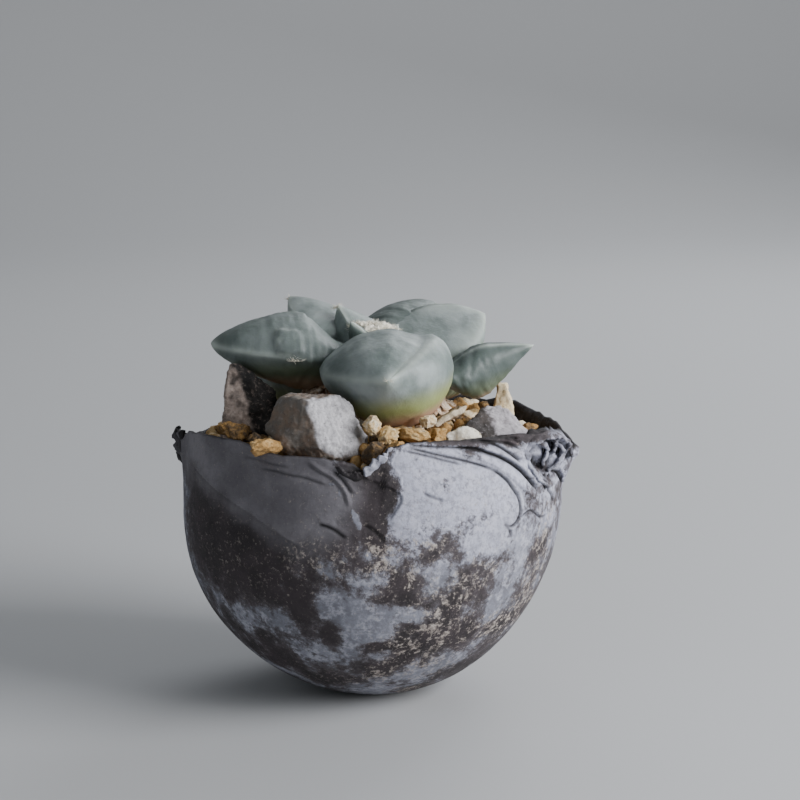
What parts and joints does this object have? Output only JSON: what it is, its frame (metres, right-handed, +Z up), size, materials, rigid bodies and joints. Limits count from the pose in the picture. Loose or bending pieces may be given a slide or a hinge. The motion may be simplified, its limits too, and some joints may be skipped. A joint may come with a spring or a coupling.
{
  "type": "potted ariocarpus",
  "caption": "Round-bottomed handmade clay pot with a torn, folded rim, holding a thick-leaved ariocarpus rosette bedded in gravel and rocks.",
  "frame": {"origin": "centre of the pot's foot, on the surface that it stands on", "axes": "+Z up, +X to the right as seen from the front, -Y towards the viewer in front"},
  "size_m": [0.0953, 0.0904, 0.0916],
  "materials": {
    "clay": "matte, patchy grey slip over dark clay",
    "soil": "dark gritty potting mix",
    "gravel": "gold and cream gravel",
    "rosette": "glaucous grey-green skin, satin",
    "wool": "soft cream wool",
    "grey_rock": "rough broken grey rock",
    "brown_rock": "rough brown-grey rock",
    "cream_rock": "rough cream stone"
  },
  "bodies": {
    "root": {"pot": "clay", "potting_mix": "soil", "top_dressing": "gravel", "plant": "rosette", "crown_wool": "wool", "rock_front": "grey_rock", "rock_left": "brown_rock", "rock_right": "grey_rock", "stone_cream": "cream_rock", "stone_long": "cream_rock", "stone_small": "cream_rock"}
  },
  "joints": []
}
